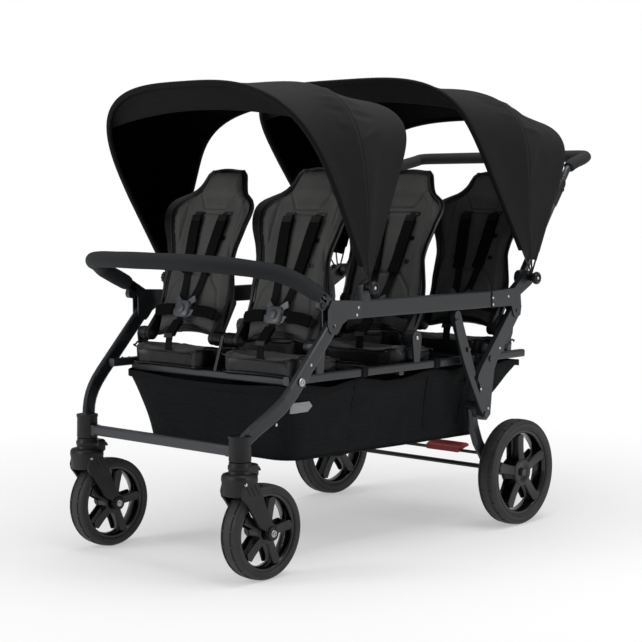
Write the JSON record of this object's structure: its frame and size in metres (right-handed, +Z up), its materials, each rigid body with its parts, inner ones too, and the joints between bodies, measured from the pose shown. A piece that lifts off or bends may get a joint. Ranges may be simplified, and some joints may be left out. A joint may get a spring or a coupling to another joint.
{
  "type": "multi-seat stroller",
  "caption": "Folding tube-frame stroller with rows of paired bucket seats, arched canopies, a bumper bar, swivel front wheels and a storage basket.",
  "frame": {"origin": "on the floor, on the middle plane, under the middle of the whole length", "axes": "+X to the stroller's left side, -Y to its front, +Z up"},
  "size_m": [0.791, 1.5728, 1.2777],
  "materials": {
    "frame": "satin dark grey powder coat",
    "plastic": "fine grained black moulding",
    "tyre": "matt foam rubber with shallow tread notches",
    "foam": "matt closed-cell foam sleeve",
    "seat_cloth": "dark grey padded cloth, black piping",
    "canopy_cloth": "black woven cloth, stretched",
    "mesh_cloth": "black cloth and fine mesh",
    "bow": "black spring wire",
    "brake_red": "red pedal moulding on a black bar"
  },
  "bodies": {
    "chassis": {"lower_rail_left": "frame", "lower_rail_right": "frame", "cross_rail_front": "frame", "cross_rail_middle": "frame", "cross_rail_rear": "frame", "basket": "mesh_cloth", "seat_base_front_left": "seat_cloth", "seat_base_front_right": "seat_cloth", "seat_base_middle_left": "seat_cloth", "seat_base_middle_right": "seat_cloth", "seat_base_rear_left": "seat_cloth", "seat_base_rear_right": "seat_cloth"},
    "front_legs": {"front_leg_left": "frame", "front_leg_right": "frame", "front_crossbar": "frame"},
    "upper_frame": {"upper_rail_left": "frame", "upper_rail_right": "frame"},
    "bumper": {"bumper_bar": "frame", "bumper_foam": "foam"},
    "handle_lower": {"handle_sleeve_left": "frame", "handle_sleeve_right": "frame"},
    "handle_upper": {"handle_bar": "frame", "handle_grip": "foam"},
    "rear_legs": {"rear_leg_left": "frame", "rear_leg_right": "frame", "rear_axle_frame": "frame"},
    "struts": {"rear_strut_left": "frame", "rear_strut_right": "frame"},
    "brake": {"brake_lever": "brake_red"},
    "button_left": {"release_button_left": "plastic"},
    "button_right": {"release_button_right": "plastic"},
    "caster_left": {"fork_left": "plastic"},
    "front_wheel_left": {"front_left_rim": "plastic", "front_left_tyre": "tyre"},
    "caster_right": {"fork_right": "plastic"},
    "front_wheel_right": {"front_right_rim": "plastic", "front_right_tyre": "tyre"},
    "rear_wheel_left": {"rear_left_rim": "plastic", "rear_left_tyre": "tyre"},
    "rear_wheel_right": {"rear_right_rim": "plastic", "rear_right_tyre": "tyre"},
    "row_front": {"seat_hub_front": "plastic"},
    "back_front_left": {"seat_back_front_left": "seat_cloth"},
    "back_front_right": {"seat_back_front_right": "seat_cloth"},
    "row_middle": {"seat_hub_middle": "plastic"},
    "back_middle_left": {"seat_back_middle_left": "seat_cloth"},
    "back_middle_right": {"seat_back_middle_right": "seat_cloth"},
    "row_rear": {"seat_hub_rear": "plastic"},
    "back_rear_left": {"seat_back_rear_left": "seat_cloth"},
    "back_rear_right": {"seat_back_rear_right": "seat_cloth"},
    "front_canopy_front": {"front_canopy_front_bow": "bow", "front_canopy_front_panel": "canopy_cloth"},
    "front_canopy_middle": {"front_canopy_middle_bow": "bow", "front_canopy_rear_panel": "canopy_cloth"},
    "front_canopy_rear": {"front_canopy_rear_bow": "bow"},
    "rear_canopy_front": {"rear_canopy_front_bow": "bow", "rear_canopy_front_panel": "canopy_cloth"},
    "rear_canopy_middle": {"rear_canopy_middle_bow": "bow", "rear_canopy_rear_panel": "canopy_cloth"},
    "rear_canopy_rear": {"rear_canopy_rear_bow": "bow"}
  },
  "joints": [
    {"name": "fold_front", "type": "hinge", "parent": "chassis", "child": "front_legs", "pos_m": [0, -0.5625, 0.493], "axis": [-1, 0, 0], "range_deg": [0, 38]},
    {"name": "upper_fold", "type": "hinge", "parent": "front_legs", "child": "upper_frame", "pos_m": [0, -0.4425, 0.623], "axis": [1, 0, 0], "range_deg": [0, 38]},
    {"name": "bumper_pull", "type": "slide", "parent": "upper_frame", "child": "bumper", "axis": [0, -0.8704, 0.4924], "range_m": [0, 0.05]},
    {"name": "release_left", "type": "slide", "parent": "bumper", "child": "button_left", "axis": [-1, 0, 0], "range_m": [0, 0.004], "stiffness_N_per_m": 400, "springref_m": -0.002},
    {"name": "release_right", "type": "slide", "parent": "bumper", "child": "button_right", "axis": [1, 0, 0], "range_m": [0, 0.004], "stiffness_N_per_m": 400, "springref_m": -0.002},
    {"name": "swivel_left", "type": "hinge", "parent": "front_legs", "child": "caster_left", "pos_m": [0.29, -0.6975, 0.305], "axis": [0, 0, 1], "continuous": true},
    {"name": "front_roll_left", "type": "hinge", "parent": "caster_left", "child": "front_wheel_left", "pos_m": [0.29, -0.6241, 0.12], "axis": [1, 0, 0], "continuous": true},
    {"name": "swivel_right", "type": "hinge", "parent": "front_legs", "child": "caster_right", "pos_m": [-0.29, -0.6975, 0.305], "axis": [0, 0, 1], "continuous": true},
    {"name": "front_roll_right", "type": "hinge", "parent": "caster_right", "child": "front_wheel_right", "pos_m": [-0.29, -0.6241, 0.12], "axis": [1, 0, 0], "continuous": true},
    {"name": "fold_rear", "type": "hinge", "parent": "chassis", "child": "rear_legs", "pos_m": [0, 0.2245, 0.493], "axis": [-1, 0, 0], "range_deg": [0, 38]},
    {"name": "strut_fold", "type": "hinge", "parent": "rear_legs", "child": "struts", "pos_m": [0, 0.1945, 0.338], "axis": [1, 0, 0], "range_deg": [0, 83.3]},
    {"name": "brake", "type": "hinge", "parent": "rear_legs", "child": "brake", "pos_m": [0, 0.3995, 0.185], "axis": [1, 0, 0], "range_deg": [0, 25]},
    {"name": "rear_roll_left", "type": "hinge", "parent": "rear_legs", "child": "rear_wheel_left", "pos_m": [0.3595, 0.3631, 0.153], "axis": [1, 0, 0], "continuous": true},
    {"name": "rear_roll_right", "type": "hinge", "parent": "rear_legs", "child": "rear_wheel_right", "pos_m": [-0.3595, 0.3631, 0.153], "axis": [1, 0, 0], "continuous": true},
    {"name": "handle_fold", "type": "hinge", "parent": "upper_frame", "child": "handle_lower", "pos_m": [0, 0.4095, 0.715], "axis": [-1, 0, 0], "range_deg": [0, 91]},
    {"name": "handle_reach", "type": "slide", "parent": "handle_lower", "child": "handle_upper", "axis": [0, 0.5948, 0.8039], "range_m": [-0.03, 0.04]},
    {"name": "row_fold_front", "type": "hinge", "parent": "chassis", "child": "row_front", "pos_m": [0, -0.4585, 0.569], "axis": [1, 0, 0], "range_deg": [0, 60]},
    {"name": "recline_front_left", "type": "hinge", "parent": "row_front", "child": "back_front_left", "pos_m": [0.174, -0.4585, 0.569], "axis": [1, 0, 0], "range_deg": [-25, 0]},
    {"name": "recline_front_right", "type": "hinge", "parent": "row_front", "child": "back_front_right", "pos_m": [-0.174, -0.4585, 0.569], "axis": [1, 0, 0], "range_deg": [-25, 0]},
    {"name": "row_fold_middle", "type": "hinge", "parent": "chassis", "child": "row_middle", "pos_m": [0, -0.07, 0.569], "axis": [1, 0, 0], "range_deg": [0, 65]},
    {"name": "recline_middle_left", "type": "hinge", "parent": "row_middle", "child": "back_middle_left", "pos_m": [0.174, -0.07, 0.569], "axis": [1, 0, 0], "range_deg": [-25, 0]},
    {"name": "recline_middle_right", "type": "hinge", "parent": "row_middle", "child": "back_middle_right", "pos_m": [-0.174, -0.07, 0.569], "axis": [1, 0, 0], "range_deg": [-25, 0]},
    {"name": "row_fold_rear", "type": "hinge", "parent": "chassis", "child": "row_rear", "pos_m": [0, 0.3185, 0.569], "axis": [1, 0, 0], "range_deg": [0, 65]},
    {"name": "recline_rear_left", "type": "hinge", "parent": "row_rear", "child": "back_rear_left", "pos_m": [0.174, 0.3185, 0.569], "axis": [1, 0, 0], "range_deg": [-12, 0]},
    {"name": "recline_rear_right", "type": "hinge", "parent": "row_rear", "child": "back_rear_right", "pos_m": [-0.174, 0.3185, 0.569], "axis": [1, 0, 0], "range_deg": [-12, 0]},
    {"name": "front_canopy_tilt", "type": "hinge", "parent": "upper_frame", "child": "front_canopy_rear", "pos_m": [0, -0.3175, 0.716], "axis": [-1, 0, 0], "range_deg": [0, 18]},
    {"name": "front_canopy_close_rear", "type": "hinge", "parent": "front_canopy_rear", "child": "front_canopy_middle", "pos_m": [0, -0.3175, 0.716], "axis": [-1, 0, 0], "range_deg": [0, 18], "deforming": ["front_canopy_rear_panel"]},
    {"name": "front_canopy_close_front", "type": "hinge", "parent": "front_canopy_middle", "child": "front_canopy_front", "pos_m": [0, -0.3175, 0.716], "axis": [-1, 0, 0], "range_deg": [0, 18], "deforming": ["front_canopy_front_panel"]},
    {"name": "rear_canopy_tilt", "type": "hinge", "parent": "upper_frame", "child": "rear_canopy_rear", "pos_m": [0, 0.4095, 0.715], "axis": [-1, 0, 0], "range_deg": [0, 8]},
    {"name": "rear_canopy_close_rear", "type": "hinge", "parent": "rear_canopy_rear", "child": "rear_canopy_middle", "pos_m": [0, 0.4095, 0.715], "axis": [-1, 0, 0], "range_deg": [0, 26], "deforming": ["rear_canopy_rear_panel"]},
    {"name": "rear_canopy_close_front", "type": "hinge", "parent": "rear_canopy_middle", "child": "rear_canopy_front", "pos_m": [0, 0.4095, 0.715], "axis": [-1, 0, 0], "range_deg": [0, 26], "deforming": ["rear_canopy_front_panel"]}
  ],
  "couplings": [
    {"joint": "upper_fold", "follows": "fold_front", "ratio": 1},
    {"joint": "fold_rear", "follows": "fold_front", "ratio": 1},
    {"joint": "strut_fold", "follows": "fold_front", "ratio": 2.1921},
    {"joint": "handle_fold", "follows": "fold_front", "ratio": 2.3947},
    {"joint": "row_fold_front", "follows": "fold_front", "ratio": 1.5789},
    {"joint": "row_fold_middle", "follows": "fold_front", "ratio": 1.7105},
    {"joint": "row_fold_rear", "follows": "fold_front", "ratio": 1.7105},
    {"joint": "front_canopy_close_rear", "follows": "front_canopy_close_front", "ratio": 1},
    {"joint": "rear_canopy_close_rear", "follows": "rear_canopy_close_front", "ratio": 1}
  ]
}
